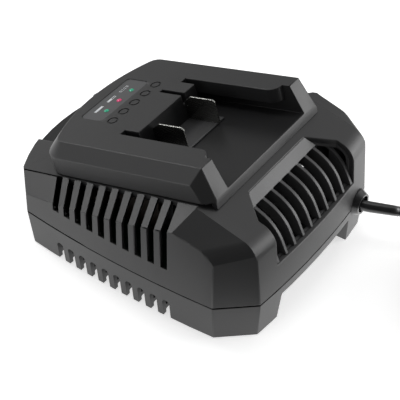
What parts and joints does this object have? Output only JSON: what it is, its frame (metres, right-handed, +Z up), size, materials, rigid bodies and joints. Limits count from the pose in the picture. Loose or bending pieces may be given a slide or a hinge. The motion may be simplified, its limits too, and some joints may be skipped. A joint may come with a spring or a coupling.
{
  "type": "power tool battery charger",
  "caption": "Desktop charger for slide-on tool batteries, with a tilted dock, contact blades, status lights, vented two-part housing and mains lead.",
  "frame": {"origin": "middle of the housing's footprint on the surface it stands on", "axes": "+Z up, +X towards the louvred front where the battery slides on, +Y towards the side where the mains lead leaves"},
  "size_m": [0.2655, 0.1315, 0.081],
  "materials": {
    "housing": "fine_texture",
    "trim": "matte",
    "label": "satin",
    "print": "satin",
    "led_green": "gloss",
    "led_red": "gloss",
    "contact": "satin",
    "board": "satin",
    "ferrite": "matte",
    "winding": "gloss",
    "capacitor": "gloss",
    "aluminium": "satin",
    "component": "matte",
    "fuse_body": "gloss",
    "film_capacitor": "satin",
    "screw": "satin",
    "rubber": "matte",
    "cord": "satin",
    "wire_red": "satin",
    "wire_brown": "satin",
    "brass": "satin"
  },
  "bodies": {
    "charger": {"lower_shell": "housing", "upper_shell": "housing", "dock_cover": "housing", "front_louvre": "trim", "status_label": "label", "label_icons": "print", "green_leds": "led_green", "red_led": "led_red", "indicator_board": "board", "contact_positive": "contact", "contact_negative": "contact", "contact_carrier": "trim", "circuit_board": "board", "transformer_core": "ferrite", "transformer_winding": "winding", "bulk_capacitor": "capacitor", "output_capacitors": "capacitor", "filter_choke": "winding", "heat_sink": "aluminium", "power_transistors": "component", "fuse": "fuse_body", "suppressor_capacitor": "film_capacitor", "fan_cradle": "trim", "fan_frame": "component", "housing_screws": "screw", "board_screws": "screw", "rubber_feet": "rubber", "cord_gland": "cord", "strain_relief": "cord", "cord_clamp": "trim", "mains_leads": "wire_brown", "output_leads": "wire_red", "fan_leads": "component", "power_cord": "cord", "cord_coil": "cord", "cord_tail": "cord", "cord_tie": "rubber", "plug_body": "cord", "plug_pins": "brass"},
    "fan": {"fan_rotor": "component"}
  },
  "joints": [
    {"name": "fan_spin", "type": "hinge", "parent": "charger", "child": "fan", "pos_m": [0.055, 0, 0.0275], "axis": [1, 0, 0], "continuous": true}
  ]
}
